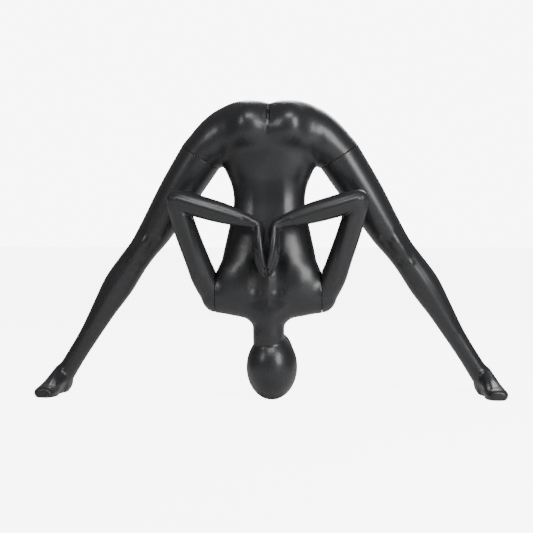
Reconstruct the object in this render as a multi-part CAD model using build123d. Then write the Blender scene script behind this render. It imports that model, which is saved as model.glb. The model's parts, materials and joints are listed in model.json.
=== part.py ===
from build123d import *

"""Full body display mannequin in a wide-legged forward fold, hands in reverse prayer.

The figure stands on both soles and the crown of the head. +Z is up, -Y is the side the toes
point to and the side the back of the torso faces, +X is the figure's own left side. The origin
is on the floor, under the middle of the figure's bounding box. Everything is in millimetres.

The skins are hollow glass-fibre shells. Each leg and each arm is its own shell, and it comes off
along its own axis: a steel tongue on the limb sits in a steel sleeve in the torso. The hands are
solid castings bonded in the forearms, and the head shell is bonded to the neck on a collar.
"""

import os

# ---------------------------------------------------------------- the figure
FIGURE_HEIGHT = 902.0        # floor to the top of the seat
HEAD_LENGTH = 214.0          # crown to chin
HEAD_WIDTH = 154.0
HEAD_DEPTH = 188.0
HEAD_TURN = 10.0             # degrees, chin towards the figure's left
HEAD_OFFSET = 9.0            # the turned head sits this far to the left
NECK_WIDTH = 95.0
NECK_DEPTH = 100.0
WAIST_WIDTH = 216.0
CHEST_WIDTH = 282.0
SEAT_WIDTH = 300.0           # pelvis without the thigh stubs
SHOULDER_SPAN = 320.0        # from one shoulder seam to the other
SHELL_WALL = 4.0             # glass-fibre laminate

HIP_X = 166.0                # where the thigh axis leaves the pelvis
HIP_Y = 48.0
ANKLE_X = 626.0              # half of the stance, at the ankle
ANKLE_Y = 140.0
ANKLE_HEIGHT = 98.0
THIGH_SEAM_ALONG = 82.0      # from the hip point to the seam, along the thigh
FOOT_LENGTH = 216.0
FOOT_WIDTH = 74.0
FOOT_TURN_OUT = 6.0          # degrees
ANKLE_SETBACK = 48.0         # heel back to the ankle centre

ELBOW_X = 268.0
ELBOW_Y = -122.0
ELBOW_HEIGHT = 601.0
WRIST_X = 42.0
WRIST_Y = -124.0
WRIST_HEIGHT = 534.0
HAND_LENGTH = 156.0          # wrist to the tip of the middle finger
HAND_BREADTH = 74.0
PALM_GAP = 1.2               # between the two hands where the fingertips meet

# ---------------------------------------------------------------- the fittings
SEAM_GAP = 0.6               # shell edge to shell edge at every limb seam
BOARD_THICKNESS = 12.0       # birch ply closing boards
BOARD_RECESS = 5.0           # seam plane to the face of a board
BOND_LINE = 0.4              # resin gap round a board, a collar or a spigot
PLATE_THICKNESS = 3.0        # steel fitting plates
SLEEVE_WALL = 2.0
SLEEVE_SPARE = 3.0           # sleeve depth beyond the end of the tongue
FITTING_CLEARANCE = 0.5      # tongue to sleeve, each side
SCREW_SHANK_D = 4.0
SCREW_HEAD_D = 8.0
SCREW_HEAD_HEIGHT = 1.6
SCREW_LENGTH = 12.0          # under the head
SCREW_INSET = 8.0            # plate edge to screw axis

LEG_PLATE = (84.0, 64.0)
LEG_TONGUE = (36.0, 14.0, 62.0)
ARM_PLATE = (66.0, 46.0)
ARM_TONGUE = (20.0, 10.0, 38.0)
MAGNET_D = 12.0
MAGNET_THICKNESS = 4.0
MAGNET_SPACING = 34.0
MAGNET_CLEARANCE = 0.1

NECK_SEAM_HEIGHT = 216.0
COLLAR_LENGTH = 36.0
COLLAR_WALL = 3.0
WRIST_SPIGOT_D = 18.0
WRIST_SPIGOT_LENGTH = 34.0
FLOOR_SOCKET_BORE_D = 10.0   # takes a floor pin or a stand rod from below
FLOOR_SOCKET_WALL = 2.0
FLOOR_SOCKET_DEPTH = 56.0
CROWN_FLAT_D = 34.0          # ground flat on the crown

SECTION_PITCH = 26.0         # spacing of the sections that a limb is lofted through

# ---------------------------------------------------------------- worked out
HIP_HEIGHT = 0.8936 * FIGURE_HEIGHT
SHOULDER_HEIGHT = 0.3515 * FIGURE_HEIGHT
SHOULDER_Y = -8.0
NECK_Y = -22.0               # the neck runs a little behind the crown

UP = Vector(0, 0, 1)
SIDE = Vector(1, 0, 0)
DEPTH = Vector(0, 1, 0)

HIP = Vector(HIP_X, HIP_Y, HIP_HEIGHT)
ANKLE = Vector(ANKLE_X, ANKLE_Y, ANKLE_HEIGHT)
LEG_AXIS = (ANKLE - HIP).normalized()
LEG_LENGTH = (ANKLE - HIP).length
LEG_ACROSS = LEG_AXIS.cross(DEPTH).normalized()   # points outwards and up
THIGH_SEAM = HIP + LEG_AXIS * THIGH_SEAM_ALONG

SHOULDER_SEAM = Vector(SHOULDER_SPAN / 2, SHOULDER_Y, SHOULDER_HEIGHT)
ELBOW = Vector(ELBOW_X, ELBOW_Y, ELBOW_HEIGHT)
WRIST = Vector(WRIST_X, WRIST_Y, WRIST_HEIGHT)
UPPER_ARM = ELBOW - SHOULDER_SEAM
FOREARM = WRIST - ELBOW
UPPER_HEADING = UPPER_ARM.normalized()
FORE_HEADING = FOREARM.normalized()


# ---------------------------------------------------------------- how the shapes are made
def oval(centre, heading, across, half_across, half_deep):
    """An elliptical section: half_across along `across`, half_deep square to it."""
    heading = heading.normalized()
    flat = across - heading * across.dot(heading)
    section = scale(Circle(1.0), by=(half_across, half_deep, 1.0))
    return Plane(origin=centre, x_dir=flat.normalized(), z_dir=heading) * section


def eased(before, start, end, after, share, spans):
    """A value between start and end on a smooth curve that also heeds both neighbours."""
    lead, span, trail = spans
    slope_in = (end - before) * (span / (lead + span))
    slope_out = (after - start) * (span / (span + trail))
    s, s2, s3 = share, share ** 2, share ** 3
    return (start * (2 * s3 - 3 * s2 + 1) + slope_in * (s3 - 2 * s2 + s)
            + end * (3 * s2 - 2 * s3) + slope_out * (s3 - s2))


def body_of(stations, grow=0.0):
    """A smooth solid through stations of (centre, heading, across, half_across, half_deep)."""
    last = len(stations) - 1
    spans = [(stations[i + 1][0] - stations[i][0]).length for i in range(last)]
    sections = []
    for i in range(last):
        quad = [stations[max(i - 1, 0)], stations[i], stations[i + 1], stations[min(i + 2, last)]]
        lead = spans[i - 1] if i > 0 else 0.0
        trail = spans[i + 1] if i + 1 < last else 0.0
        steps = max(1, round(spans[i] / SECTION_PITCH))
        for step in range(steps + (i + 1 == last)):
            values = [eased(*[q[k] for q in quad], step / steps, (lead, spans[i], trail)) for k in range(5)]
            sections.append(oval(values[0], values[1], values[2], values[3] + grow, values[4] + grow))
    return loft(sections, ruled=True)


def egg(centre, across, deep, tall, grow=0.0):
    """An ellipsoid with the three half sizes given."""
    return Pos(*centre) * scale(Sphere(1.0), by=(across + grow, deep + grow, tall + grow))


def mirrored(shape):
    return mirror(shape, about=Plane.YZ)


def both_sides(shape):
    return shape + mirrored(shape)


def slab(plane, low, high, size=400.0):
    """The slice of space between two offsets from a plane."""
    return plane * Pos(0, 0, (low + high) / 2) * Box(size, size, high - low)


def above_floor(shape, size=4000.0):
    return shape & Pos(0, 0, size / 2) * Box(size, size, size)


# ---------------------------------------------------------------- shapes of the figure
def trunk(grow):
    """Rib cage, waist and pelvis: (share of the height, y, half width, half depth)."""
    chest, waist, seat = CHEST_WIDTH / 2, WAIST_WIDTH / 2, SEAT_WIDTH / 2
    levels = [
        (0.294, -16, 0.52 * chest, 38),
        (0.331, -5, 0.80 * chest, 60),
        (0.387, 4, 0.96 * chest, 78),
        (0.442, 9, chest, 86),
        (0.497, 12, 0.97 * chest, 87),
        (0.552, 14, 0.90 * chest, 82),
        (0.608, 18, 0.465 * (chest + waist), 76),
        (0.663, 22, waist, 71),
        (0.718, 26, 1.07 * waist, 74),
        (0.773, 28, 0.90 * seat, 82),
        (0.829, 26, seat, 86),
        (0.884, 24, 0.97 * seat, 82),
        (0.939, 20, 0.78 * seat, 62),
        (0.980, 16, 0.44 * seat, 30),
    ]
    heights = [share * FIGURE_HEIGHT for share, y, w, d in levels]
    heights[0] -= grow
    heights[-1] += grow
    return body_of([(Vector(0, y, z), UP, SIDE, w, d) for z, (_, y, w, d) in zip(heights, levels)], grow)


def yoke(grow, overrun=0.0):
    """The shoulder girdle, from one shoulder seam across to the other."""
    half = SHOULDER_SPAN / 2 - SEAM_GAP / 2 + overrun
    stations = [
        (-1.0, SHOULDER_Y, 0, 54, 47),
        (-0.62, -4, -3, 60, 60),
        (0.0, 0, 0, 66, 66),
        (0.62, -4, -3, 60, 60),
        (1.0, SHOULDER_Y, 0, 54, 47),
    ]
    return body_of([(Vector(s * half, y, SHOULDER_HEIGHT + z), SIDE, UP, h, d)
                    for s, y, z, h, d in stations], grow)


def thigh_root(grow, overrun=0.0):
    """The left thigh from inside the pelvis, round the hip, to its seam."""
    edge = LEG_AXIS * (overrun - SEAM_GAP / 2)
    route = [
        (Vector(-150, -22, 76), 0.0, 66, 66),
        (Vector(-116, -18, 78), 0.15, 78, 76),
        (Vector(-86, -16, 66), 0.45, 80, 80),
        (Vector(-51, -11, 43), 0.72, 76, 79),
        (Vector(-21, -5, 19), 0.92, 70, 76),
        (edge, 1.0, 67, 74),
    ]
    stations = []
    for offset, turn, w, d in route:
        heading = (SIDE * (1 - turn) + LEG_AXIS * turn).normalized()
        stations.append((THIGH_SEAM + offset, heading, heading.cross(DEPTH), w, d))
    return body_of(stations, grow)


def hips(grow):
    """The broad top of the seat, across from hip to hip: (share of the seat, y, z, half height, half depth)."""
    half = SEAT_WIDTH / 2
    stations = [
        (1.10, 36, -13, 62, 62),
        (0.92, 26, -5, 77, 74),
        (0.67, 18, -1, 86.5, 82),
        (0.33, 12, 0, 88.5, 86),
        (0.0, 10, 0, 84.5, 83),
    ]
    both = [(-share, *rest) for share, *rest in stations[:-1]] + stations[::-1]
    return body_of([(Vector(share * half, y, FIGURE_HEIGHT - 89 + z), SIDE, UP, h, d)
                    for share, y, z, h, d in both], grow)


def buttock(grow):
    return egg((64, 4, FIGURE_HEIGHT - 86), 78, 78, 86, grow)


def shoulder_blade(grow):
    """The mass of the back beside the spine, drawn out to the shoulder."""
    return egg((84, -12, SHOULDER_HEIGHT + 33), 76, 58, 96, grow)


def breast(grow):
    return egg((66, 82, 0.462 * FIGURE_HEIGHT), 54, 46, 56, grow)


def neck(grow, overrun=0.0):
    """The neck above its seam, widening into the shoulders."""
    w, d = NECK_WIDTH / 2, NECK_DEPTH / 2
    stations = [
        (-overrun, NECK_Y, w, d),
        (18, NECK_Y - 1, w + 4, d + 1),
        (34, NECK_Y, w + 22, d + 3),
        (54, NECK_Y + 2, w + 51, d + 4),
        (90, NECK_Y + 12, w + 69, d + 8),
    ]
    return body_of([(Vector(0, y, NECK_SEAM_HEIGHT + z), UP, SIDE, a, b) for z, y, a, b in stations], grow)


def head(grow, overrun=0.0):
    """The featureless head: a cranium that rests on its crown, a chin, and the upper neck."""
    w, d, tall = HEAD_WIDTH / 2, HEAD_DEPTH / 2, 0.47 * HEAD_LENGTH
    sink = tall * (1 - (1 - (CROWN_FLAT_D / HEAD_WIDTH) ** 2) ** 0.5)
    turned = Pos(HEAD_OFFSET, 0, 0) * Rot(0, 0, -HEAD_TURN)
    cranium = turned * egg((0, 0, tall - sink), w, d - 6, tall, grow)
    jaw = turned * egg((0, 30, 0.62 * HEAD_LENGTH), w - 19, d - 34, 0.36 * HEAD_LENGTH, grow)
    nape = body_of([
        (Vector(HEAD_OFFSET, -6, 0.42 * HEAD_LENGTH), UP, SIDE, w - 22, d - 40),
        (Vector(0.6 * HEAD_OFFSET, -14, 0.70 * HEAD_LENGTH), UP, SIDE, w - 29, d - 44),
        (Vector(0, NECK_Y, NECK_SEAM_HEIGHT - COLLAR_LENGTH / 2 - 4), UP, SIDE, NECK_WIDTH / 2, NECK_DEPTH / 2),
        (Vector(0, NECK_Y, NECK_SEAM_HEIGHT + overrun), UP, SIDE, NECK_WIDTH / 2, NECK_DEPTH / 2),
    ], grow)
    return cranium + jaw + nape


def leg(grow, overrun=0.0, end=1.06):
    """The left leg: (share of the leg, outwards, backwards, half width, half depth)."""
    start = (THIGH_SEAM_ALONG + SEAM_GAP / 2 - overrun) / LEG_LENGTH
    route = [
        (start, 0, 0, 67, 74),
        (0.26, 0, 0, 61, 70),
        (0.42, -3, 0, 51, 62),
        (0.50, 0, -2, 44, 54),
        (0.56, 4, 0, 44, 50),
        (0.66, 7, 7, 47, 53),
        (0.76, 6, 7, 39, 45),
        (0.87, 2, 4, 31.5, 36),
        (0.97, 1, 2, 29, 34),
        (end, 0, 2, 29.5, 36),
    ]
    stations = []
    for share, out, back, w, d in route:
        if share < end or (share, out, back, w, d) == route[-1]:
            centre = HIP + LEG_AXIS * (share * LEG_LENGTH) + LEG_ACROSS * out + DEPTH * back
            stations.append((centre, LEG_AXIS, LEG_ACROSS, w, d))
    return body_of(stations, grow)


def foot_frame():
    """Floor plane under the left ankle: its X axis runs to the toes, its Y axis to the outside."""
    under = ANKLE + LEG_AXIS * (0.86 * ANKLE_HEIGHT)
    return Plane(origin=(under.X, under.Y, 0), x_dir=Vector(0, -1, 0).rotate(Axis.Z, FOOT_TURN_OUT))


def foot():
    """The left foot, with a flat sole: (towards the toes, outwards, half width, half height, rise)."""
    frame = foot_frame()
    toe = FOOT_LENGTH - ANKLE_SETBACK
    wide = FOOT_WIDTH / 2
    route = [
        (-ANKLE_SETBACK, -8, 11, 14, 27),
        (-0.77 * ANKLE_SETBACK, -11, 23, 33, 34),
        (0, -11, 28, 50, 42),
        (0.23 * toe, -4, 29, 44, 30),
        (0.46 * toe, 1, 0.88 * wide, 31, 19),
        (0.73 * toe, 3, wide, 22, 12),
        (0.90 * toe, 2, 0.89 * wide, 16, 12),
        (toe, 1, 0.59 * wide, 11, 11),
    ]
    stations = [(Vector(along, out, rise), SIDE, DEPTH, w, tall) for along, out, w, tall, rise in route]
    return above_floor(frame * body_of(stations))


def deltoid(grow):
    """The round of the shoulder; its middle section is the mouth of the arm."""
    return egg(tuple(SHOULDER_SEAM), 50, 47, 54, grow)


def arm(grow, overrun=0.0):
    """The left arm from its seam round the elbow to the wrist."""
    upper = [
        (SHOULDER_SEAM + SIDE * 4 - UPPER_ARM * 0.02, UPPER_HEADING, -SIDE, 30, 34),
        (SHOULDER_SEAM + SIDE * 10 + UPPER_ARM * 0.07, UPPER_HEADING, -SIDE, 38, 42),
        (SHOULDER_SEAM + SIDE * 14 + UPPER_ARM * 0.20, UPPER_HEADING, -SIDE, 38, 42),
        (SHOULDER_SEAM + SIDE * 12 + UPPER_ARM * 0.42, UPPER_HEADING, -SIDE, 36, 40),
        (SHOULDER_SEAM + SIDE * 9 + UPPER_ARM * 0.66, UPPER_HEADING, -SIDE, 35, 38),
        (SHOULDER_SEAM + SIDE * 4 + UPPER_ARM * 0.86, UPPER_HEADING, -SIDE, 33, 36),
        (ELBOW - UPPER_HEADING * 4, UPPER_HEADING, -SIDE, 29, 33),
    ]
    lower = [
        (ELBOW - FORE_HEADING * 14, FORE_HEADING, UP, 24, 28),
        (ELBOW + FORE_HEADING * 22, FORE_HEADING, UP, 32, 35),
        (ELBOW + FOREARM * 0.32, FORE_HEADING, UP, 33, 35),
        (ELBOW + FOREARM * 0.62, FORE_HEADING, UP, 30, 30),
        (ELBOW + FOREARM * 0.88, FORE_HEADING, UP, 22, 24),
        (WRIST - FORE_HEADING * (BOND_LINE / 2), FORE_HEADING, UP, 17, 22),
    ]
    beyond_seam = Pos(SHOULDER_SPAN / 2 + SEAM_GAP / 2 - overrun + 500, 0, 500) * Box(1000, 1000, 1000)
    point = egg(tuple(ELBOW), 29, 30, 29, grow)
    return ((deltoid(grow) + body_of(upper, grow)) & beyond_seam) + body_of(lower, grow) + point


def hand():
    """The left hand, fingers down, with the spigot that is bonded into the forearm."""
    half_gap = PALM_GAP / 2
    down = -UP
    palm_half = HAND_BREADTH / 2
    palm = body_of([
        (WRIST + FORE_HEADING * (BOND_LINE / 2), FORE_HEADING, UP, 17, 22),
        (WRIST + Vector(-9, 0, -7), FORE_HEADING + down * 0.5, UP - SIDE * 0.5, 16, 24),
        (WRIST + Vector(-12, 0, -22), FORE_HEADING * 0.4 + down, UP * 0.4 - SIDE, 15, 30),
        (WRIST + Vector(-11, 0, -46), down, -SIDE, 14, palm_half - 1),
        (WRIST + Vector(-13, 0, -0.49 * HAND_LENGTH), down, -SIDE, 13, palm_half),
        (WRIST + Vector(-17, 0, -0.56 * HAND_LENGTH), down, -SIDE, 9, palm_half - 4),
    ])
    finger = HAND_BREADTH / 4
    solid = palm
    for place, reach in ((-1.5, 0.93), (-0.5, 1.0), (0.5, 0.95), (1.5, 0.84)):
        y = WRIST.Y + place * finger
        tip = reach * HAND_LENGTH
        solid += body_of([
            (Vector(WRIST.X - 13, y, WRIST.Z - 0.44 * HAND_LENGTH), down, -SIDE, 9, 8.6),
            (Vector(WRIST.X - 19, y, WRIST.Z - 0.60 * HAND_LENGTH), down - SIDE * 0.3, -SIDE, 8.6, 8.6),
            (Vector(WRIST.X - 28, y, WRIST.Z - 0.60 * tip - 0.26 * HAND_LENGTH), down - SIDE * 0.4, -SIDE, 7.6, 8.2),
            (Vector(half_gap + 6.4, y, WRIST.Z - tip + 4), down - SIDE * 0.3, -SIDE, 5.4, 6.4),
        ])
    solid += body_of([
        (WRIST + Vector(-13, -20, -22), Vector(-0.2, -0.7, -1), -SIDE, 11, 13),
        (WRIST + Vector(-20, -36, -46), Vector(-0.4, -0.5, -1), -SIDE, 11, 11),
        (WRIST + Vector(-30, -43, -76), Vector(-0.2, -0.1, -1), -SIDE, 9.6, 10),
        (WRIST + Vector(-31.5, -43, -0.66 * HAND_LENGTH), Vector(0, 0, -1), -SIDE, 8, 8.4),
        (WRIST + Vector(-32, -42, -0.72 * HAND_LENGTH), Vector(0, 0, -1), -SIDE, 5, 5.4),
    ])
    mouth = Plane(origin=WRIST, z_dir=-FORE_HEADING)
    spigot = mouth * Pos(0, 0, WRIST_SPIGOT_LENGTH / 2 - 2) * Cylinder(WRIST_SPIGOT_D / 2, WRIST_SPIGOT_LENGTH + 4)
    clear_of_centre = Pos(half_gap + 500, 0, 500) * Box(1000, 1000, 1000)
    return (solid + spigot) & clear_of_centre


# ---------------------------------------------------------------- the fittings in a limb seam
def screw_places(plate):
    half_long, half_wide = plate[0] / 2 - SCREW_INSET, plate[1] / 2 - SCREW_INSET
    return [(x, y) for x in (-half_long, half_long) for y in (-half_wide, half_wide)]


def fitting(plane, cavity_outside, cavity_inside, plate, tongue, magnets):
    """Every piece that closes one seam. The plane lies in the seam; its Z points into the limb.

    The cavities are those of the torso and of the limb, already smaller by the bond line.
    """
    length, breadth, depth = tongue
    face = BOARD_RECESS - PLATE_THICKNESS            # seam plane to the face of a plate
    long_hole = length + 2 * FITTING_CLEARANCE
    wide_hole = breadth + 2 * FITTING_CLEARANCE
    tube = (long_hole + 2 * SLEEVE_WALL, wide_hole + 2 * SLEEVE_WALL)
    reach = depth - 2 * face + SLEEVE_SPARE          # mouth of the sleeve to its far end
    magnet_places = [(0, y) for y in (-MAGNET_SPACING / 2, MAGNET_SPACING / 2)] if magnets else []

    def bar(size_x, size_y, low, high):
        return plane * Pos(0, 0, (low + high) / 2) * Box(size_x, size_y, high - low)

    def rods(places, radius, low, high):
        return [plane * Pos(x, y, (low + high) / 2) * Cylinder(radius, high - low) for x, y in places]

    def pieces(side, cavity):
        """Board, plate, screws and magnets on one side of the seam: side is -1 torso, +1 limb."""
        near, board_face, board_back = side * face, side * BOARD_RECESS, side * (BOARD_RECESS + BOARD_THICKNESS)
        board = cavity & slab(plane, *sorted((board_face, board_back)))
        board = board.solids().sort_by(SortBy.VOLUME)[-1]
        plate_body = bar(*plate, *sorted((near, board_face)))
        shank_end = side * (face + SCREW_LENGTH)
        shanks = rods(screw_places(plate), SCREW_SHANK_D / 2, *sorted((near, shank_end)))
        heads = rods(screw_places(plate), SCREW_HEAD_D / 2, *sorted((near, side * (face - SCREW_HEAD_HEIGHT))))
        magnet_back = side * (face + MAGNET_THICKNESS)
        pockets = rods(magnet_places, MAGNET_D / 2 + MAGNET_CLEARANCE, *sorted((near, magnet_back)))
        discs = rods(magnet_places, MAGNET_D / 2, *sorted((near, magnet_back)))
        for hole in shanks + pockets:
            board -= hole
            plate_body -= hole
        screws = [shank + top for shank, top in zip(shanks, heads)]
        return board, plate_body, screws, discs

    torso_board, torso_plate, torso_screws, torso_magnets = pieces(-1, cavity_outside)
    limb_board, limb_plate, limb_screws, limb_magnets = pieces(1, cavity_inside)
    through = bar(*tube, -face - reach, -face)
    sleeve = through - bar(long_hole, wide_hole, -face - reach, -face)
    return {
        "socket_board": torso_board - through,
        "socket_plate": torso_plate - through,
        "sleeve": sleeve,
        "socket_screws": torso_screws,
        "socket_magnets": torso_magnets,
        "board": limb_board,
        "tongue_plate": limb_plate,
        "tongue": bar(length, breadth, face - depth, face),
        "tongue_screws": limb_screws,
        "magnets": limb_magnets,
    }


# ---------------------------------------------------------------- the pieces
def torso_skin():
    """The hollow torso with its two thigh stubs, shoulders and neck root."""
    past = SEAM_GAP + 2.0
    wall = SHELL_WALL
    outside = trunk(0) + yoke(0) + neck(0, -BOND_LINE / 2)
    outside += both_sides(thigh_root(0)) + both_sides(buttock(0)) + both_sides(breast(0))
    outside += hips(0) + both_sides(shoulder_blade(0))
    inside = trunk(-wall) + yoke(-wall, past) + neck(-wall, past)
    inside += both_sides(thigh_root(-wall, past)) + both_sides(buttock(-wall)) + both_sides(breast(-wall))
    inside += hips(-wall) + both_sides(shoulder_blade(-wall))
    return outside - inside


def head_skin():
    return above_floor(head(0, -BOND_LINE / 2)) - head(-SHELL_WALL, 2.0)


def collar():
    """The bonded sleeve inside the neck that carries the head shell."""
    snug = SHELL_WALL + BOND_LINE
    reach = COLLAR_LENGTH / 2

    def tube(grow):
        w, d = NECK_WIDTH / 2 - 1.2, NECK_DEPTH / 2 - 0.4
        return body_of([(Vector(0, NECK_Y, NECK_SEAM_HEIGHT + z), UP, SIDE, w, d) for z in (-reach, 0, reach)], grow)

    return tube(-snug) - tube(-snug - COLLAR_WALL)


def leg_skin():
    """The hollow leg; its foot is filled with resin from just above the ankle down."""
    socket_at = foot_frame()
    drilled = socket_at * Pos(0, 0, FLOOR_SOCKET_DEPTH / 2) * Cylinder(socket_outside() / 2, FLOOR_SOCKET_DEPTH)
    return leg(0) + foot() - leg(-SHELL_WALL, SEAM_GAP + 2.0, 0.97) - drilled


def socket_outside():
    return FLOOR_SOCKET_BORE_D + 2 * FLOOR_SOCKET_WALL


def floor_socket():
    """The steel tube in the sole; it is closed at its inner end."""
    tube = Cylinder(socket_outside() / 2, FLOOR_SOCKET_DEPTH)
    bore = Pos(0, 0, -FLOOR_SOCKET_WALL) * Cylinder(FLOOR_SOCKET_BORE_D / 2, FLOOR_SOCKET_DEPTH)
    return foot_frame() * Pos(0, 0, FLOOR_SOCKET_DEPTH / 2) * (tube - bore)


def arm_skin():
    hole = Plane(origin=WRIST, z_dir=-FORE_HEADING) * Pos(0, 0, WRIST_SPIGOT_LENGTH / 2)
    drilled = hole * Cylinder(WRIST_SPIGOT_D / 2 + BOND_LINE, WRIST_SPIGOT_LENGTH + 2 * BOND_LINE)
    hollow = arm(-SHELL_WALL, SEAM_GAP + 2.0)
    wrist_fill = Plane(origin=WRIST, z_dir=-FORE_HEADING) * Pos(0, 0, 8) * Box(80, 80, 56)
    return arm(0) - (hollow - wrist_fill) - drilled


def left_limbs():
    """Every piece of the left leg and arm seams, and the limbs: a name and its solids."""
    snug = -(SHELL_WALL + BOND_LINE)
    leg_plane = Plane(origin=THIGH_SEAM, x_dir=LEG_ACROSS, z_dir=LEG_AXIS)
    arm_plane = Plane(origin=SHOULDER_SEAM, x_dir=UP, z_dir=SIDE)
    found = {"leg_shell": leg_skin(), "floor_socket": floor_socket(), "arm_shell": arm_skin(), "hand": hand()}
    leg_pieces = fitting(leg_plane, thigh_root(snug), leg(snug), LEG_PLATE, LEG_TONGUE, False)
    arm_pieces = fitting(arm_plane, yoke(snug), deltoid(snug), ARM_PLATE, ARM_TONGUE, True)
    for limb, parts_of_seam in (("leg", leg_pieces), ("arm", arm_pieces)):
        for name, solid in parts_of_seam.items():
            if solid:
                found[f"{limb}_{name}"] = solid
    return found


def all_nodes():
    """Every node's name and its list of solids; the right side mirrors the left."""
    nodes = {"torso_shell": [torso_skin()], "head_shell": [head_skin()], "neck_collar": [collar()]}
    for name, found in left_limbs().items():
        solids = found if isinstance(found, list) else [found]
        nodes[f"left_{name}"] = solids
        nodes[f"right_{name}"] = [mirrored(solid) for solid in solids]
    return nodes


def main():
    os.makedirs("parts", exist_ok=True)
    nodes = all_nodes()
    boxes = [solid.bounding_box() for solids in nodes.values() for solid in solids]
    middle_y = (min(box.min.Y for box in boxes) + max(box.max.Y for box in boxes)) / 2
    to_origin = Pos(0, -middle_y, 0)
    for name, solids in nodes.items():
        placed = [to_origin * solid for solid in solids]
        export_step(placed[0] if len(placed) == 1 else Compound(placed), f"parts/{name}.step")
    print("the origin lies at y", middle_y, "of the drawing")
    print("left floor socket at", foot_frame().origin - Vector(0, middle_y, 0))


if __name__ == "__main__":
    main()
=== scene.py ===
import json
from math import pi, radians

import bmesh
import bpy
from mathutils import Matrix, Vector


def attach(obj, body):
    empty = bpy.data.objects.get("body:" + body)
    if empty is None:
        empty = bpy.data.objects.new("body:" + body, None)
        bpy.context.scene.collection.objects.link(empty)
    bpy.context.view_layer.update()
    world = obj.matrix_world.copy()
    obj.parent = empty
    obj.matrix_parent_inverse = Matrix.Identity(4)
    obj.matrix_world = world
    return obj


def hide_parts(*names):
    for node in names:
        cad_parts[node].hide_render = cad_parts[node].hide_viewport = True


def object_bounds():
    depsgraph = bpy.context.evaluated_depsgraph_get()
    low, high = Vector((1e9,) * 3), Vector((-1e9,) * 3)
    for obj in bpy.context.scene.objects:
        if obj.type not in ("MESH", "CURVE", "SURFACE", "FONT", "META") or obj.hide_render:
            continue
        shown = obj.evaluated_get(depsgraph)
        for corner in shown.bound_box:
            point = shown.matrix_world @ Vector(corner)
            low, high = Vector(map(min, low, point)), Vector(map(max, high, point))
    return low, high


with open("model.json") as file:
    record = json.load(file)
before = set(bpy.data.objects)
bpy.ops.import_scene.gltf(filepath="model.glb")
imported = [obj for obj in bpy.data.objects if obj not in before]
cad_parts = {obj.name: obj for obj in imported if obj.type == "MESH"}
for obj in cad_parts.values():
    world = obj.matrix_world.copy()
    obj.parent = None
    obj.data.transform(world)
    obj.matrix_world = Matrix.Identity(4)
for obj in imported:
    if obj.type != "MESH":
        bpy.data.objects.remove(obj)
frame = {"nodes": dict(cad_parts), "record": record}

cad_low, cad_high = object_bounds()

# ------------------------------------------------------------------ finish of the skins
# Every skin is glass-fibre laminate under a sprayed satin black coat. The coat is rubbed down by
# hand, so its gloss wanders a little and the light breaks softly on a very fine orange peel.


class Value:
    """A number or vector socket of a shader, so that shader sums read as sums."""

    def __init__(self, tree, socket):
        self.tree, self.socket = tree, socket

    def maths(self, operation, *others):
        made = self.tree.nodes.new("ShaderNodeMath")
        made.operation = operation
        for place, item in enumerate((self, *others)):
            if isinstance(item, Value):
                self.tree.links.new(item.socket, made.inputs[place])
            else:
                made.inputs[place].default_value = item
        return Value(self.tree, made.outputs[0])

    def __add__(self, other):
        return self.maths("ADD", other)

    __radd__ = __add__

    def __mul__(self, other):
        return self.maths("MULTIPLY", other)

    __rmul__ = __mul__


class Finish:
    """A material being written: node() adds a node, paint() sets what varies over the surface."""

    def __init__(self, name):
        self.material = bpy.data.materials.new(name)
        self.material.use_nodes = True
        self.tree = self.material.node_tree
        self.shader = self.tree.nodes["Principled BSDF"]
        self.place = self.node("ShaderNodeTexCoord", output="Object")

    def node(self, kind, output=0, **values):
        made = self.tree.nodes.new(kind)
        for key, value in values.items():
            socket = made.inputs[key.replace("_", " ")]
            if isinstance(value, Value):
                self.tree.links.new(value.socket, socket)
            else:
                socket.default_value = value
        return Value(self.tree, made.outputs[output])

    def noise(self, scale, detail=2.0):
        return self.node("ShaderNodeTexNoise", Vector=self.place, Scale=scale, Detail=detail)

    def mix(self, mask, low, high):
        made = self.tree.nodes.new("ShaderNodeMix")
        made.data_type = "RGBA"
        self.tree.links.new(mask.socket, made.inputs["Factor"])
        for socket, colour in ((made.inputs[6], low), (made.inputs[7], high)):
            if isinstance(colour, Value):
                self.tree.links.new(colour.socket, socket)
            else:
                socket.default_value = (*colour, 1.0)
        return Value(self.tree, made.outputs[2])

    def paint(self, **values):
        for key, value in values.items():
            socket = self.shader.inputs[key.replace("_", " ")]
            if isinstance(value, Value):
                self.tree.links.new(value.socket, socket)
            else:
                socket.default_value = value

    def bump(self, height, strength, distance):
        made = self.node("ShaderNodeBump", Height=height, Strength=strength, Distance=distance)
        self.tree.links.new(made.socket, self.shader.inputs["Normal"])


def satin_black():
    """The coat: colour and gloss that drift over a hand's width, dust nibs, and orange peel."""
    thin_spray, full_spray = (0.0080, 0.0083, 0.0096), (0.0110, 0.0114, 0.0130)
    coat = Finish("satin_black_coat")
    drift = coat.noise(7.0, 3.0)
    peel = coat.noise(700.0, 2.0)
    dust = coat.noise(55.0, 4.0)
    colour = coat.mix(drift, thin_spray, full_spray)
    coat.paint(Base_Color=colour, Roughness=0.33 + 0.05 * drift + 0.03 * dust)
    coat.paint(Specular_IOR_Level=0.42, Coat_Weight=0.10, Coat_Roughness=0.20)
    coat.bump(peel, 0.08, 0.0002)
    return coat.material


black = satin_black()

# ------------------------------------------------------------------ torso and head
# The trunk, shoulders, neck and featureless head are one hollow moulding to the eye: the head
# shell is bonded on at the neck, and the joint is filled and sprayed over.

mounts = {mount["name"]: Vector(mount["pos_m"]) for mount in frame["record"]["mounts"]}
origin = Vector((0.0, mounts["crown"].y, 0.0))
UP, SIDE, DEPTH = Vector((0, 0, 1)), Vector((1, 0, 0)), Vector((0, 1, 0))


def at(x, y, z):
    """A point of the figure, from the floor under the middle of the crown."""
    return origin + Vector((x, y, z))


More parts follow.
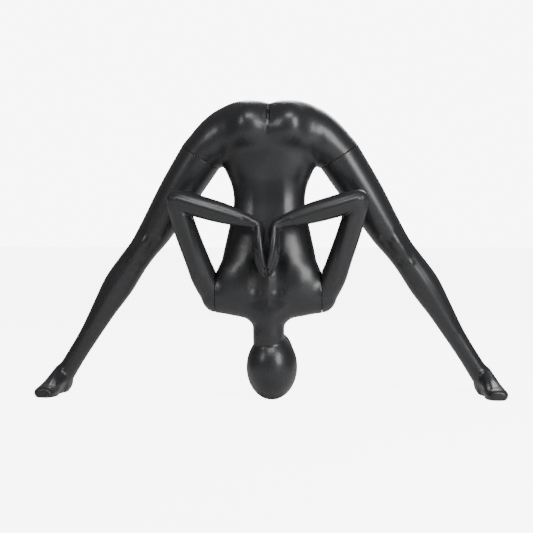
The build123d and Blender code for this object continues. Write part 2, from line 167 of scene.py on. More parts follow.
def eased(before, start, end, after, share, spans):
    """A value a share of the way from start to end, smooth through its neighbours."""
    lead, span, trail = spans
    slope_in = (end - before) * (span / (lead + span))
    slope_out = (after - start) * (span / (span + trail))
    s, s2, s3 = share, share ** 2, share ** 3
    return (start * (2 * s3 - 3 * s2 + 1) + slope_in * (s3 - 2 * s2 + s)
            + end * (3 * s2 - 2 * s3) + slope_out * (s3 - s2))


def ring(shape, centre, heading, across, half_across, half_deep, corners=44):
    """One oval section of a limb; returns its edges."""
    along = heading.normalized()
    flat = (across - along * across.dot(along)).normalized()
    turn = Matrix((flat, along.cross(flat), along)).transposed().to_4x4()
    place = Matrix.Translation(centre) @ turn @ Matrix.Diagonal((half_across, half_deep, 1, 1))
    made = bmesh.ops.create_circle(shape, segments=corners, radius=1.0, matrix=place)
    return list({edge for vert in made["verts"] for edge in vert.link_edges})


def limb(shape, stations, pitch=0.012):
    """A closed skin through stations of (centre, heading, across, half_across, half_deep)."""
    last = len(stations) - 1
    spans = [(stations[i + 1][0] - stations[i][0]).length for i in range(last)]
    rings = []
    for i in range(last):
        quad = [stations[max(i - 1, 0)], stations[i], stations[i + 1], stations[min(i + 2, last)]]
        near = (spans[i - 1] if i else 0.0, spans[i], spans[i + 1] if i + 1 < last else 0.0)
        steps = max(1, round(spans[i] / pitch))
        for step in range(steps + (i + 1 == last)):
            values = [eased(*[q[k] for q in quad], step / steps, near) for k in range(5)]
            rings.append(ring(shape, *values))
    for low, high in zip(rings, rings[1:]):
        bmesh.ops.bridge_loops(shape, edges=low + high)
    for end in (rings[0], rings[-1]):
        bmesh.ops.edgeloop_fill(shape, edges=end)


def egg(shape, centre, half_x, half_y, half_z, turn=Matrix.Identity(4)):
    """A closed egg, for a rounded mass under the skin."""
    place = Matrix.Translation(centre) @ turn @ Matrix.Diagonal((half_x, half_y, half_z, 1))
    bmesh.ops.create_uvsphere(shape, u_segments=40, v_segments=24, radius=1.0, matrix=place)


def settled(piece):
    """Applies a piece's modifiers to its mesh."""
    old = piece.data
    shown = piece.evaluated_get(bpy.context.evaluated_depsgraph_get())
    done = bpy.data.meshes.new_from_object(shown)
    piece.modifiers.clear()
    piece.data = done
    bpy.data.meshes.remove(old)


def moulded(name, shape, voxel, rounds):
    """The overlapping bodies of a shape fused into one skin and softened where they meet."""
    bmesh.ops.recalc_face_normals(shape, faces=shape.faces)
    mesh = bpy.data.meshes.new(name)
    shape.to_mesh(mesh)
    shape.free()
    piece = bpy.data.objects.new(name, mesh)
    bpy.context.scene.collection.objects.link(piece)
    fuse = piece.modifiers.new("fuse", "REMESH")
    fuse.mode, fuse.voxel_size, fuse.use_smooth_shade = "VOXEL", voxel, True
    soften = piece.modifiers.new("soften", "SMOOTH")
    soften.factor, soften.iterations = 0.5, rounds
    settled(piece)
    return piece


def melted(piece, centre, reach, rounds, swell):
    """Fairs the skin about a point, as filler and sandpaper do, and puts back what they take."""
    group = piece.vertex_groups.new(name="fairing")
    near = []
    for vert in piece.data.vertices:
        share = 1 - ((vert.co - centre).length / reach) ** 2
        if share > 0:
            group.add([vert.index], min(1.0, 2 * share), "REPLACE")
            near.append((vert.index, min(1.0, 2 * share)))
    soften = piece.modifiers.new("soften", "SMOOTH")
    soften.factor, soften.iterations, soften.vertex_group = 0.5, rounds, "fairing"
    settled(piece)
    piece.vertex_groups.clear()
    normals = [(index, share, piece.data.vertices[index].normal.copy()) for index, share in near]
    for index, share, normal in normals:
        piece.data.vertices[index].co += normal * (swell * share)
    piece.data.update()


def distance_to(point, line):
    """Distance in a plane from a point to a line of points."""
    best = 1.0
    for start, end in zip(line, line[1:]):
        span = end - start
        share = max(0.0, min(1.0, (point - start).dot(span) / span.length_squared))
        best = min(best, (point - start - span * share).length)
    return best


def stroke(piece, line, reach, height, facing=None):
    """Raises the skin along a line as a modeller's thumb does, or presses it, below 0.

    Without a facing, the distance is taken in space. With one, it is taken square to it, and only
    the skin that faces that way moves.
    """
    verts = piece.data.vertices
    line = [Vector(p) for p in line]
    if facing is not None:
        facing = Vector(facing).normalized()
        line = [p - facing * p.dot(facing) for p in line]
    low = Vector([min(p[i] for p in line) - reach for i in range(3)])
    high = Vector([max(p[i] for p in line) + reach for i in range(3)])
    moves = []
    for vert in verts:
        where, share = vert.co, 1.0
        if facing is not None:
            share = vert.normal.dot(facing)
            if share <= 0.0:
                continue
            where = where - facing * where.dot(facing)
        if any(where[i] < low[i] or where[i] > high[i] for i in range(3)):
            continue
        near = distance_to(where, line) / reach
        if near < 1.0:
            moves.append((vert, vert.normal * (height * share * (1 - near * near) ** 2)))
    for vert, move in moves:
        vert.co = vert.co + move
    piece.data.update()


def refined(piece, line, reach):
    """Divides the faces near a line in two each way, for work finer than the mesh."""
    shape = bmesh.new()
    shape.from_mesh(piece.data)
    near = [edge for edge in shape.edges
            if distance_to((edge.verts[0].co + edge.verts[1].co) / 2, line) < reach]
    bmesh.ops.subdivide_edges(shape, edges=near, cuts=1, use_grid_fill=True, smooth=0.5)
    shape.to_mesh(piece.data)
    shape.free()


def other_side(line):
    """A line of points carried over to the figure's other side."""
    return [Vector((-p[0], p[1], p[2])) for p in line]


def pair_stroke(piece, line, reach, height, facing):
    """The same stroke on both sides of the figure."""
    stroke(piece, line, reach, height, facing)
    stroke(piece, other_side(line), reach, height, other_side([facing])[0])


def finished(piece, material):
    """Smooth shading and one finish, ready to ride."""
    piece.data.materials.clear()
    piece.data.materials.append(material)
    for face in piece.data.polygons:
        face.use_smooth = True
    return piece


def trunk_section(z, y, half_wide, half_deep):
    """A level section of the trunk or the neck."""
    return (at(0, y, z), UP, SIDE, half_wide, half_deep)


body = bmesh.new()
limb(body, [trunk_section(*row) for row in (
    (0.265, -0.016, 0.073, 0.038),
    (0.299, -0.005, 0.113, 0.060),
    (0.349, 0.004, 0.135, 0.078),
    (0.399, 0.009, 0.141, 0.086),
    (0.448, 0.012, 0.137, 0.087),
    (0.498, 0.014, 0.127, 0.082),
    (0.548, 0.018, 0.116, 0.076),
    (0.598, 0.022, 0.108, 0.071),
    (0.648, 0.026, 0.1155, 0.074),
    (0.697, 0.028, 0.135, 0.082),
    (0.748, 0.026, 0.150, 0.086),
    (0.797, 0.024, 0.1455, 0.082),
    (0.847, 0.020, 0.117, 0.062),
    (0.884, 0.016, 0.066, 0.030),
)])
limb(body, [(at(x, y, z), SIDE, UP, tall, deep) for x, y, z, tall, deep in (
    (-0.165, 0.036, 0.800, 0.062, 0.062),
    (-0.138, 0.026, 0.808, 0.077, 0.074),
    (-0.100, 0.018, 0.812, 0.0865, 0.082),
    (-0.050, 0.012, 0.813, 0.0885, 0.086),
    (0.0, 0.010, 0.813, 0.0845, 0.083),
    (0.050, 0.012, 0.813, 0.0885, 0.086),
    (0.100, 0.018, 0.812, 0.0865, 0.082),
    (0.138, 0.026, 0.808, 0.077, 0.074),
    (0.165, 0.036, 0.800, 0.062, 0.062),
)])
limb(body, [(at(x, y, z), SIDE, UP, tall, deep) for x, y, z, tall, deep in (
    (-0.205, -0.008, 0.317, 0.054, 0.047),
    (-0.160, -0.008, 0.317, 0.054, 0.047),
    (-0.099, -0.004, 0.314, 0.060, 0.060),
    (0.0, 0.0, 0.317, 0.066, 0.066),
    (0.099, -0.004, 0.314, 0.060, 0.060),
    (0.160, -0.008, 0.317, 0.054, 0.047),
    (0.205, -0.008, 0.317, 0.054, 0.047),
)])
limb(body, [trunk_section(*row) for row in (
    (0.100, -0.004, 0.052, 0.054),
    (0.150, -0.014, 0.047, 0.049),
    (0.198, -0.022, 0.0475, 0.050),
    (0.216, -0.022, 0.0475, 0.050),
    (0.234, -0.023, 0.051, 0.051),
    (0.250, -0.022, 0.070, 0.053),
    (0.270, -0.020, 0.098, 0.054),
    (0.306, -0.010, 0.116, 0.058),
)])

# The thigh root bends from the pelvis to the axis of the thigh and ends square at the seam.
leg_axis = Vector((0.541602, 0.108320, -0.833627))
leg_across = leg_axis.cross(DEPTH).normalized()
hip = at(0.166, 0.048, 0.80603)
thigh_seam = hip + leg_axis * 0.082
for side in (1, -1):
    route = (
        (Vector((-0.150, -0.022, 0.076)), 0.0, 0.066, 0.066),
        (Vector((-0.116, -0.018, 0.078)), 0.15, 0.078, 0.076),
        (Vector((-0.086, -0.016, 0.066)), 0.45, 0.080, 0.080),
        (Vector((-0.051, -0.011, 0.043)), 0.72, 0.076, 0.079),
        (Vector((-0.021, -0.005, 0.019)), 0.92, 0.070, 0.076),
        (Vector((0, 0, 0)), 1.0, 0.067, 0.074),
        (leg_axis * 0.03, 1.0, 0.0665, 0.0735),
    )
    stations = []
    for offset, turned, wide, deep in route:
        heading = (SIDE * (1 - turned) + leg_axis * turned).normalized()
        across = heading.cross(DEPTH)
        centre = thigh_seam + offset
        stations.append((centre, heading, across, wide, deep))
    if side < 0:
        stations = [(*other_side([centre, heading, across]), wide, deep)
                    for centre, heading, across, wide, deep in stations]
    limb(body, stations)
    egg(body, at(side * 0.058, -0.006, 0.820), 0.072, 0.076, 0.078)
    egg(body, at(side * 0.070, 0.040, 0.812), 0.078, 0.074, 0.084)
    egg(body, at(side * 0.084, -0.012, 0.350), 0.078, 0.060, 0.100)
    egg(body, at(side * 0.066, 0.082, 0.417), 0.054, 0.046, 0.056)
HEAD_TURN, HEAD_OFFSET = -10.0, 0.009
head_turn = Matrix.Rotation(radians(HEAD_TURN), 4, "Z")
head_place = Matrix.Translation(origin + SIDE * HEAD_OFFSET) @ head_turn
cranium = head_place @ Vector((0, 0, 0.0981))
egg(body, cranium, 0.077, 0.088, 0.1005, head_turn)
egg(body, head_place @ Vector((0, 0.034, 0.128)), 0.060, 0.058, 0.078, head_turn)
TORSO_VOXEL = 0.004
torso = moulded("torso_and_head_skin", body, TORSO_VOXEL, 14)
for side in (1, -1):
    melted(torso, at(side * 0.09, 0.010, 0.80), 0.150, 120, 0.0030)
    melted(torso, at(side * 0.10, -0.010, 0.345), 0.135, 130, 0.0034)
    melted(torso, at(side * 0.066, 0.070, 0.415), 0.095, 90, 0.0026)
melted(torso, at(0, -0.020, 0.318), 0.090, 110, 0.0022)

# The modeller's work on the back: the hollow of the spine, the shoulder blades drawn in by the
# arms, the seat and the hollow beside it. Then the cleft over the top of the seat, and on the
# front the middle line, the breast bone, the navel and the collar bones.
TO_BACK, TO_FRONT = (0, -1, 0), (0, 1, 0)
stroke(torso, [at(0, 0, 0.66), at(0, 0, 0.58), at(0, 0, 0.42)], 0.050, -0.0075, TO_BACK)
for line, reach, height in (
    ([(0.034, 0.42), (0.030, 0.37), (0.034, 0.340)], 0.031, -0.0070),
    ([(0.032, 0.40), (0.029, 0.35), (0.028, 0.305)], 0.036, -0.0040),
    ([(0.066, 0.845), (0.060, 0.815)], 0.070, 0.0085),
    ([(0.125, 0.885), (0.132, 0.80), (0.136, 0.735)], 0.040, -0.0040),
    ([(0.075, 0.40), (0.072, 0.34)], 0.050, 0.0040),
):
    pair_stroke(torso, [at(x, 0, z) for x, z in line], reach, height, TO_BACK)
stroke(torso, [at(0, 0, 0.345), at(0, 0, 0.290)], 0.006, 0.0012, TO_BACK)
cleft = [at(0, y, z) for y, z in (
    (-0.076, 0.805), (-0.066, 0.845), (-0.040, 0.880), (0.010, 0.896),
    (0.060, 0.880), (0.090, 0.845), (0.105, 0.790))]
stroke(torso, cleft[1:5], 0.030, -0.0040)
refined(torso, cleft, 0.024)
refined(torso, cleft, 0.014)
stroke(torso, cleft[1:3], 0.0065, -0.0085)
stroke(torso, cleft[:4], 0.012, -0.0012)
stroke(torso, [at(0, 0, 0.70), at(0, 0, 0.60), at(0, 0, 0.50)], 0.020, -0.003, TO_FRONT)
stroke(torso, [at(0, 0, 0.46), at(0, 0, 0.36)], 0.026, -0.006, TO_FRONT)
stroke(torso, [at(0, 0, 0.664), at(0, 0, 0.658)], 0.010, -0.005, TO_FRONT)
collar_bone = [at(0.020, 0, 0.262), at(0.070, 0, 0.270), at(0.125, 0, 0.285)]
pair_stroke(torso, collar_bone, 0.014, 0.004, TO_FRONT)


def open_edges(items):
    """The edges among an operator's results that have a face on one side only."""
    return [item for item in items if isinstance(item, bmesh.types.BMEdge) and item.is_boundary]


def opened(piece, point, outward, reach, steps):
    """Cuts a skin square at a seam, near a point, and carries the edge on through the steps.

    A step is how far the edge draws in and how far it sinks. The last edge is closed over.
    """
    shape = bmesh.new()
    shape.from_mesh(piece.data)
    verts = [vert for vert in shape.verts if (vert.co - point).length < reach]
    inside = set(verts)
    edges = [edge for edge in shape.edges if inside.issuperset(edge.verts)]
    faces = [face for face in shape.faces if inside.issuperset(face.verts)]
    edges = open_edges(bmesh.ops.bisect_plane(
        shape, geom=verts + edges + faces, plane_co=point, plane_no=outward,
        clear_outer=True)["geom_cut"])
    middle = sum((vert.co for edge in edges for vert in edge.verts), Vector()) / (2 * len(edges))
    for draw_in, sink in steps:
        edges = open_edges(bmesh.ops.extrude_edge_only(shape, edges=edges)["geom"])
        for vert in {vert for edge in edges for vert in edge.verts}:
            spoke = vert.co - middle
            spoke -= outward * spoke.dot(outward)
            vert.co -= spoke.normalized() * draw_in + outward * sink
    bmesh.ops.edgeloop_fill(shape, edges=edges)
    bmesh.ops.recalc_face_normals(shape, faces=shape.faces)
    shape.to_mesh(piece.data)
    shape.free()


# The crown is ground flat where the figure stands on it, and the seat stays under its height.
SEAT_SPARE = 0.0002
ground = bmesh.new()
ground.from_mesh(torso.data)
bmesh.ops.bisect_plane(ground, geom=ground.verts[:] + ground.edges[:] + ground.faces[:],
                       plane_co=(0, 0, 0), plane_no=(0, 0, -1), clear_outer=True)
bmesh.ops.holes_fill(ground, edges=[edge for edge in ground.edges if edge.is_boundary])
for vert in ground.verts:
    vert.co.z = min(vert.co.z, cad_high.z - SEAT_SPARE)
ground.to_mesh(torso.data)
ground.free()

# Each limb seam is a square cut: a small round edge, a lip as thick as the laminate, a recess
# that the ply closing board lies in, and on the torso's side a well for the sleeve behind it.
half_gap, edge_round, lip, recess = 0.0003, 0.0010, 0.0030, 0.022
seam_steps = ((edge_round, -edge_round), (lip, 0.0), (0.0, recess))
thigh_well = ((0.034, 0.0), (0.0, 0.052))
shoulder_well = ((0.022, 0.0), (0.0, 0.030))
seam_face = half_gap + edge_round
shoulder_seam = at(0.160, -0.008, 0.31705)
for side in (1, -1):
    flip = Vector((side, 1, 1))
    hip_out = leg_axis * flip
    opened(torso, thigh_seam * flip - hip_out * seam_face, hip_out, 0.096,
           seam_steps + thigh_well)
    opened(torso, shoulder_seam * flip - SIDE * side * seam_face, SIDE * side, 0.085,
           seam_steps + shoulder_well)
finished(torso, black)
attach(torso, "torso")
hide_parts("torso_shell", "head_shell")

# ------------------------------------------------------------------ legs
# Each leg is one hollow laminate moulding from the thigh seam to a foot that is filled with resin.
# The foot is smooth, as in a stocking, and its sole is ground flat and holds a steel floor socket.

leg_length = 0.8493
LEG_ROUTE = (
    (0.0620, 0, 0, 67.5, 74.5),
    (0.0976, 0, 0, 67, 74),
    (0.26, 0, 0, 61, 70),
    (0.42, -3, 0, 51, 62),
    (0.50, 0, -2, 44, 54),
    (0.56, 4, 0, 44, 50),
    (0.66, 7, 7, 47, 53),
    (0.76, 6, 7, 39, 45),
    (0.87, 2, 4, 31.5, 36),
    (0.97, 1, 2, 29, 34),
    (1.06, 0, 2, 29.5, 36),
)
FOOT_ROUTE = (
    (-48, -8, 11, 14, 27),
    (-37, -11, 23, 33, 34),
    (0, -11, 28, 50, 42),
    (38, -4, 29, 44, 30),
    (78, 1, 32, 33, 19),
    (122, 2, 35.5, 25, 13),
    (152, 1, 32, 20, 14),
    (168, 1, 22, 14, 13),
)
FOOT_TURN_OUT = 6.0
socket_mouth = Vector((mounts["left_floor_socket"].x, mounts["left_floor_socket"].y, 0.0))
toes = Matrix.Rotation(radians(FOOT_TURN_OUT), 4, "Z") @ Vector((0, -1, 0))
outside = Vector((-toes.y, toes.x, 0))


def leg_point(share, out=0.0, back=0.0):
    """A point a share of the way down the leg, so many mm outwards and back."""
    return (hip + leg_axis * (leg_length * share)
            + leg_across * (out / 1000) + DEPTH * (back / 1000))


def foot_point(along, out, rise):
    """A point so many mm towards the toes, outwards and up from the mouth of the floor socket."""
    return socket_mouth + (toes * along + outside * out + UP * rise) / 1000


limb_body = bmesh.new()
limb(limb_body, [(leg_point(share, out, back), leg_axis, leg_across, wide / 1000, deep / 1000)
                 for share, out, back, wide, deep in LEG_ROUTE])
limb(limb_body, [(foot_point(along, out, rise), toes, outside, wide / 1000, tall / 1000)
                 for along, out, wide, tall, rise in FOOT_ROUTE], 0.008)
LEG_VOXEL = 0.0032
left_leg = moulded("left_leg_skin", limb_body, LEG_VOXEL, 10)
melted(left_leg, foot_point(10, -2, 74), 0.075, 45, 0.0010)
melted(left_leg, foot_point(60, 0, 40), 0.050, 20, 0.0006)

# Kneecap and the tendon below it, shin edge, calf, ankle bones, heel tendon and the line of the
# instep, each drawn on.
knee_out = -DEPTH
for line, reach, height, facing in (
    ([(0.475, 4), (0.505, 4)], 0.030, 0.0055, knee_out),
    ([(0.535, 4), (0.56, 4)], 0.018, 0.0030, knee_out),
    ([(0.44, -26), (0.50, -26), (0.535, -22)], 0.020, -0.0035, knee_out),
    ([(0.44, 30), (0.50, 32), (0.535, 28)], 0.020, -0.0035, knee_out),
    ([(0.57, 2), (0.70, 4), (0.86, 3)], 0.020, 0.0030, knee_out),
    ([(0.62, -20), (0.74, -16)], 0.028, -0.0020, knee_out),
    ([(0.42, -14), (0.52, -16)], 0.016, -0.0030, DEPTH),
    ([(0.62, 22, 7), (0.70, 22, 7)], 0.034, 0.0035, DEPTH),
    ([(0.62, -18, 7), (0.72, -16, 7)], 0.034, 0.0045, DEPTH),
    ([(0.88, 2, 4), (0.98, 2, 4)], 0.012, 0.0030, DEPTH),
):
    stroke(left_leg, [leg_point(*place) for place in line], reach, height, facing)
for line, reach, height in (
    ([(2, 24, 86), (4, 24, 80)], 0.024, 0.0018),
    ([(8, -38, 92), (10, -38, 84)], 0.026, 0.0030),
    ([(40, -8, 82), (84, -14, 48), (132, -18, 30)], 0.013, -0.0026),
    ([(40, -26, 16), (74, -26, 12)], 0.026, -0.0060),
):
    stroke(left_leg, [foot_point(*place) for place in line], reach, height)
finished(left_leg, black)


def twin(piece, name):
    """The right-hand copy of a left-hand piece."""
    mesh = piece.data.copy()
    mesh.name = name
    mesh.transform(Matrix.Diagonal((-1, 1, 1, 1)))
    mesh.flip_normals()
    copy = bpy.data.objects.new(name, mesh)
    bpy.context.scene.collection.objects.link(copy)
    return copy


opened(left_leg, thigh_seam + leg_axis * seam_face, -leg_axis, 0.110, seam_steps)


def soled(piece, mouth, bore, depth):
    """Grinds the sole flat on the floor and leaves the mouth of the socket open."""
    shape = bmesh.new()
    shape.from_mesh(piece.data)
    ease = 0.0018
    rim = open_edges(bmesh.ops.bisect_plane(
        shape, geom=shape.verts[:] + shape.edges[:] + shape.faces[:], plane_co=(0, 0, ease),
        plane_no=(0, 0, -1), clear_outer=True)["geom_cut"])
    rim = open_edges(bmesh.ops.extrude_edge_only(shape, edges=rim)["geom"])
    verts = {vert for edge in rim for vert in edge.verts}
    middle = sum((vert.co for vert in verts), Vector()) / len(verts)
    for vert in verts:
        spoke = vert.co - middle
        vert.co -= Vector((spoke.x, spoke.y, 0)).normalized() * ease
        vert.co.z = 0.0
    hole = bmesh.ops.create_circle(shape, segments=32, radius=bore / 2,
                                   matrix=Matrix.Translation(mouth))["verts"]
    ring_edges = list({edge for vert in hole for edge in vert.link_edges})
    bmesh.ops.triangle_fill(shape, edges=rim + ring_edges, use_beauty=True, normal=(0, 0, -1))
    up = bmesh.ops.extrude_edge_only(shape, edges=ring_edges)["geom"]
    top = [item for item in up if isinstance(item, bmesh.types.BMVert)]
    bmesh.ops.translate(shape, verts=top, vec=UP * depth)
    bmesh.ops.edgeloop_fill(shape, edges=open_edges(up))
    bmesh.ops.recalc_face_normals(shape, faces=shape.faces)
    shape.to_mesh(piece.data)
    shape.free()


SOCKET_HOLE_D, SOCKET_HOLE_DEPTH = 0.0142, 0.058
soled(left_leg, socket_mouth, SOCKET_HOLE_D, SOCKET_HOLE_DEPTH)
right_leg = twin(left_leg, "right_leg_skin")
for leg, name in ((left_leg, "left"), (right_leg, "right")):
    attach(leg, name + "_leg")
    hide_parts(name + "_leg_shell")

# ------------------------------------------------------------------ arms and hands
# Each arm is hollow laminate from the shoulder seam to the wrist. The hand is cast solid, glued in
# on a spigot and sprayed with the arm, so the wrist shows no joint. The fingers lie side by side.

elbow, wrist = at(0.268, -0.122, 0.601), at(0.042, -0.124, 0.534)
upper_arm, forearm = elbow - shoulder_seam, wrist - elbow
upper_way, fore_way = upper_arm.normalized(), forearm.normalized()
limb_body = bmesh.new()
egg(limb_body, shoulder_seam, 0.045, 0.047, 0.054)
limb(limb_body, [
    (shoulder_seam + SIDE * out + upper_arm * share, upper_way, -SIDE, wide, deep)
    for out, share, wide, deep in (
        (0.006, -0.03, 0.036, 0.039),
        (0.010, 0.07, 0.0385, 0.042),
        (0.014, 0.20, 0.0380, 0.042),
        (0.012, 0.42, 0.0360, 0.040),
        (0.009, 0.66, 0.0350, 0.038),
        (0.004, 0.86, 0.0335, 0.036),
    )
] + [
    (elbow - upper_way * 0.004, upper_way, -SIDE, 0.0300, 0.033),
    (elbow + upper_way * 0.018, upper_way, -SIDE, 0.0170, 0.022),
], 0.008)
limb(limb_body, [
    (elbow - fore_way * 0.026, fore_way, UP, 0.012, 0.018),
    (elbow - fore_way * 0.010, fore_way, UP, 0.026, 0.030),
    (elbow + fore_way * 0.022, fore_way, UP, 0.0320, 0.035),
    (elbow + forearm * 0.32, fore_way, UP, 0.0330, 0.035),
    (elbow + forearm * 0.62 + UP * 0.001, fore_way, UP, 0.0305, 0.030),
    (elbow + forearm * 0.88 + UP * 0.001, fore_way, UP, 0.0225, 0.0245),
    (wrist, fore_way, UP, 0.0175, 0.0225),
], 0.008)
egg(limb_body, elbow, 0.029, 0.030, 0.029)
ARM_VOXEL = 0.0020
left_arm = moulded("left_arm_and_hand_skin", limb_body, ARM_VOXEL, 12)
melted(left_arm, shoulder_seam + SIDE * 0.026 + UP * 0.030, 0.080, 140, 0.0012)
melted(left_arm, elbow - UP * 0.006, 0.046, 50, 0.0006)

# A muscle's edge down the upper arm, another along the forearm, and the crease inside the elbow.
upper_muscle = [at(x, 0, z) for x, z in ((0.246, 0.550), (0.224, 0.460), (0.205, 0.375))]
fore_muscle = [at(x, 0, z) for x, z in (
    (0.080, 0.541), (0.139, 0.561), (0.222, 0.588), (0.265, 0.602))]
crease = [elbow - upper_way * 0.050 + fore_way * 0.030, elbow + fore_way * 0.045 - UP * 0.030]
stroke(left_arm, upper_muscle, 0.016, 0.0032, TO_BACK)
stroke(left_arm, fore_muscle, 0.014, 0.0026, TO_BACK)
stroke(left_arm, crease, 0.010, -0.004)
opened(left_arm, shoulder_seam + SIDE * seam_face, -SIDE, 0.085,
       ((edge_round, -edge_round), (lip, 0.0), (0.010, recess)))


def digit(rows):
    """A finger through rows of (x, y, z, heading, half thick, half broad), in mm, and its tip."""
    stations = [(at(x / 1000, y / 1000, z / 1000), Vector(heading), SIDE,
                 thick / 1000, broad / 1000)
                for x, y, z, heading, thick, broad in rows]
    end, heading, across, thick, broad = stations[-1]
    for share, left in ((0.50, 0.86), (0.80, 0.60), (0.96, 0.28)):
        centre = end + heading.normalized() * (thick * share)
        stations.append((centre, heading, across, thick * left, broad * left))
    limb(hand_shape, stations, 0.005)


DOWN = (0, 0, -1)
hand_shape = bmesh.new()
limb(hand_shape, [(at(x / 1000, y / 1000, z / 1000), Vector(heading), Vector(across),
                   thick / 1000, broad / 1000)
                  for x, y, z, heading, across, thick, broad in (
    (50, -124, 536.0, (-0.97, 0, -0.26), (-0.26, 0, 0.97), 17.4, 22.2),
    (42, -124, 533.0, (-0.97, 0, -0.26), (-0.26, 0, 0.97), 17, 22),
    (30, -124, 526.0, (-0.75, 0, -0.66), (-0.66, 0, 0.75), 18, 24),
    (22.5, -124, 512, (-0.25, 0, -0.97), (-0.97, 0, 0.25), 17, 28),
    (22, -125, 495, DOWN, (-1, 0, 0), 16, 33),
    (24, -125, 475, DOWN, (-1, 0, 0), 14.5, 37),
    (27, -125, 455, DOWN, (-1, 0, 0), 12, 37.5),
    (27, -125, 442, DOWN, (-1, 0, 0), 8, 33),
)], 0.006)
index_finger = (
    (25.5, -152, 472, DOWN, 8.4, 8.0),
    (25, -153, 440, DOWN, 8.0, 7.8),
    (16.5, -152, 412, (-0.45, 0, -1), 7.2, 7.4),
    (7.4, -150, 391, (-0.3, 0, -1), 5.4, 5.8),
)
middle_finger = (
    (28.5, -133, 462, DOWN, 8.6, 8.0),
    (28.5, -133, 430, (-0.1, 0, -1), 8.2, 8.0),
    (20.0, -133, 402, (-0.5, 0, -1), 7.4, 7.6),
    (8.0, -132, 379, (-0.4, 0, -1), 5.6, 6.0),
)
ring_finger = (
    (28.5, -114, 462, DOWN, 8.4, 8.0),
    (28.0, -114, 432, (-0.1, 0, -1), 8.0, 7.8),
    (19.0, -114, 404, (-0.5, 0, -1), 7.2, 7.4),
    (8.0, -115, 383, (-0.4, 0, -1), 5.4, 5.8),
)
little_finger = (
    (27.5, -97, 466, DOWN, 7.8, 7.4),
    (26, -97, 438, (-0.1, 0, -1), 7.2, 7.0),
    (18, -98, 415, (-0.4, 0, -1), 6.4, 6.4),
    (9.0, -100, 398, (-0.3, 0, -1), 4.8, 5.0),
)
thumb = (
    (24, -141, 520, (-0.1, -0.6, -1), 10, 12),
    (21, -158, 488, (-0.1, -0.3, -1), 10, 11),
    (17, -165, 454, (-0.2, -0.1, -1), 8.8, 9.4),
    (10.5, -164, 425, (-0.2, 0.1, -1), 6.6, 7.2),
    (6.6, -160, 406, (-0.2, 0.2, -1), 4.4, 5.6),
)
for rows in (index_finger, middle_finger, ring_finger, little_finger, thumb):
    digit(rows)
HAND_VOXEL = 0.0014
palm = moulded("hand", hand_shape, HAND_VOXEL, 2)
joined = bmesh.new()
joined.from_mesh(left_arm.data)
joined.from_mesh(palm.data)
bpy.data.objects.remove(palm)
joined.to_mesh(left_arm.data)
joined.free()
finished(left_arm, black)
right_arm = twin(left_arm, "right_arm_and_hand_skin")
for arm, name in ((left_arm, "left"), (right_arm, "right")):
    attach(arm, name + "_arm")
    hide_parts(name + "_arm_shell", name + "_hand")

# ------------------------------------------------------------------ fittings in the seams
# A birch ply board closes each mouth and carries a zinc-plated steel plate on four screws. A flat
# steel tongue on the limb slides into a welded sleeve in the torso; magnets hold the arms home.


def plated_steel(name, tone, rough):
    """Steel brushed along X under a plating of one tone."""
    steel = Finish(name)
    drawn_out = steel.node("ShaderNodeMapping", Vector=steel.place, Scale=(60.0, 900.0, 900.0))
    brushing = steel.node("ShaderNodeTexNoise", Vector=drawn_out, Scale=1.0, Detail=3.0)
    clouds = steel.noise(45.0, 3.0)
    dulled = tuple(0.82 * part for part in tone)
    steel.paint(Base_Color=steel.mix(clouds, tone, dulled), Metallic=1.0)
    steel.paint(Roughness=rough + 0.10 * brushing + 0.06 * clouds)
    steel.bump(brushing, 0.15, 0.0001)
    return steel.material


def birch_ply(name, across):
    """Birch ply whose veneers are stacked along a direction, every second one darker."""
    veneer = 0.0015
    ply = Finish(name)
    parts = [ply.node("ShaderNodeSeparateXYZ", output=axis, Vector=ply.place)
             for axis in ("X", "Y", "Z")]
    along = parts[0] * across[0] + parts[1] * across[1] + parts[2] * across[2]
    layer = (along * (pi / veneer)).maths("SINE").maths("GREATER_THAN", 0.0)
    drawn_out = ply.node("ShaderNodeMapping", Vector=ply.place, Scale=(420.0, 30.0, 420.0))
    grain = ply.node("ShaderNodeTexNoise", Vector=drawn_out, Scale=1.0, Detail=5.0)
    face = ply.mix(grain, (0.52, 0.36, 0.21), (0.70, 0.54, 0.35))
    dark = ply.mix(grain, (0.36, 0.22, 0.11), (0.50, 0.34, 0.19))
    ply.paint(Base_Color=ply.mix(layer, face, dark), Roughness=0.55 + 0.15 * grain)
    ply.bump(grain, 0.3, 0.0004)
    return ply.material


def glass_laminate():
    """Bare laminate, with its chopped strands showing."""
    laminate = Finish("raw_glass_laminate")
    strands = laminate.noise(260.0, 6.0)
    laminate.paint(Base_Color=laminate.mix(strands, (0.30, 0.33, 0.24), (0.52, 0.54, 0.42)))
    laminate.paint(Roughness=0.45 + 0.2 * strands)
    laminate.bump(strands, 0.5, 0.0006)
    return laminate.material


zinc = plated_steel("zinc_plated_steel", (0.58, 0.59, 0.60), 0.30)
screw_zinc = plated_steel("yellow_zinc_screws", (0.66, 0.58, 0.38), 0.26)
nickel = plated_steel("nickel_plated_magnets", (0.70, 0.69, 0.66), 0.14)
arm_ply = birch_ply("birch_ply_shoulder", SIDE)
leg_ply = {"left": birch_ply("birch_ply_left_thigh", leg_axis),
           "right": birch_ply("birch_ply_right_thigh", other_side([leg_axis])[0])}
laminate = glass_laminate()
for name, node in frame["nodes"].items():
    if "screws" in name:
        finish = screw_zinc
    elif "magnets" in name:
        finish = nickel
    elif "board" in name:
        finish = arm_ply if "_arm_" in name else leg_ply[name.split("_")[0]]
    elif name.endswith(("_shell", "_hand")):
        finish = black
    elif name == "neck_collar":
        finish = laminate
    else:
        finish = zinc
    for slot in node.material_slots:
        slot.material = finish

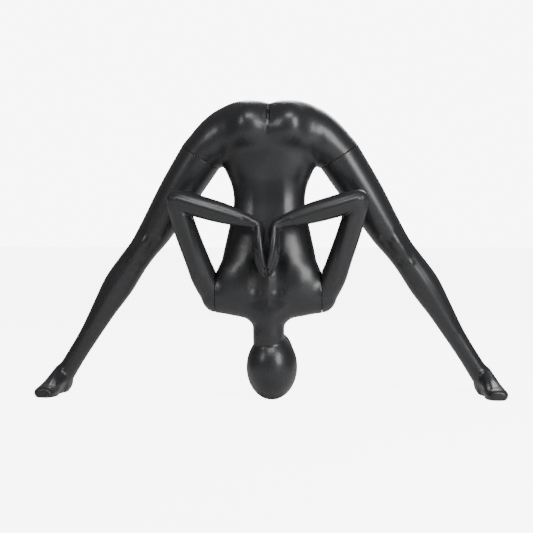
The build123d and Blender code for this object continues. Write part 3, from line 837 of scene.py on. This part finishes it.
# ------------------------------------------------------------------ floor, light and camera
# A pale sheet of paper carries the figure. A big soft box stands at each side, one hangs over the
# figure's back and one behind it. Paper and surround look white but throw little light back.
PAPER_HALF_SIZE, PAPER_WHITE, SURROUND_WHITE, SURROUND_GLOW = 30.0, 6.5, 8.0, 0.24
sweep = bmesh.new()
bmesh.ops.create_grid(sweep, x_segments=1, y_segments=1, size=PAPER_HALF_SIZE)
paper_mesh = bpy.data.meshes.new("paper_sweep")
sweep.to_mesh(paper_mesh)
sweep.free()
paper = bpy.data.objects.new("paper_sweep", paper_mesh)
bpy.context.scene.collection.objects.link(paper)
paper_finish = Finish("white_paper")
paper_tone = paper_finish.mix(paper_finish.noise(3.0), (0.80, 0.80, 0.80), (0.84, 0.84, 0.84))
seen = paper_finish.node("ShaderNodeLightPath", output="Is Camera Ray")
paper_finish.paint(Base_Color=paper_tone, Roughness=0.9, Specular_IOR_Level=0.1)
paper_finish.paint(Emission_Color=paper_finish.mix(seen, (0, 0, 0), (1, 1, 1)))
paper_finish.paint(Emission_Strength=PAPER_WHITE)
paper_mesh.materials.append(paper_finish.material)

world = bpy.data.worlds.new("white_surround")
bpy.context.scene.world = world
world.use_nodes = True
surround = world.node_tree
background = surround.nodes["Background"]
background.inputs["Color"].default_value = (1.0, 1.0, 1.0, 1.0)
ray = surround.nodes.new("ShaderNodeLightPath")
strength = Value(surround, ray.outputs["Is Camera Ray"]) * SURROUND_WHITE + SURROUND_GLOW
surround.links.new(strength.socket, background.inputs["Strength"])


def soft_box(name, place, aim, wide, tall, power):
    """A rectangular lamp at a place, turned to face an aim, with its power in watts."""
    light = bpy.data.lights.new(name, "AREA")
    light.shape, light.size, light.size_y, light.energy = "RECTANGLE", wide, tall, power
    lamp = bpy.data.objects.new(name, light)
    bpy.context.scene.collection.objects.link(lamp)
    place, aim = Vector(place), Vector(aim)
    turn = (aim - place).to_track_quat("-Z", "Y").to_matrix().to_4x4()
    lamp.matrix_world = Matrix.Translation(place) @ turn


soft_box("key_box", (2.5, -2.4, 1.7), (0.1, 0, 0.45), 1.3, 1.9, 130)
soft_box("fill_box", (-2.4, -2.4, 2.1), (0, 0, 0.5), 0.9, 1.2, 34)
soft_box("top_box", (0.3, -1.8, 2.9), (0, 0, 0.7), 1.8, 0.9, 60)
soft_box("rear_box", (0.5, 2.6, 2.2), (0, 0, 0.5), 2.0, 1.0, 50)

CAMERA_PLACE, CAMERA_TURN, CAMERA_TILT_DOWN = (0.2018, -4.0052, 0.520), 3.0, 1.7
lens = bpy.data.cameras.new("camera")
lens.sensor_width, lens.lens = 36.0, 89.46
camera = bpy.data.objects.new("camera", lens)
bpy.context.scene.collection.objects.link(camera)
camera.matrix_world = (Matrix.Translation(CAMERA_PLACE)
                       @ Matrix.Rotation(radians(CAMERA_TURN), 4, "Z")
                       @ Matrix.Rotation(radians(90.0 - CAMERA_TILT_DOWN), 4, "X"))
bpy.context.scene.camera = camera
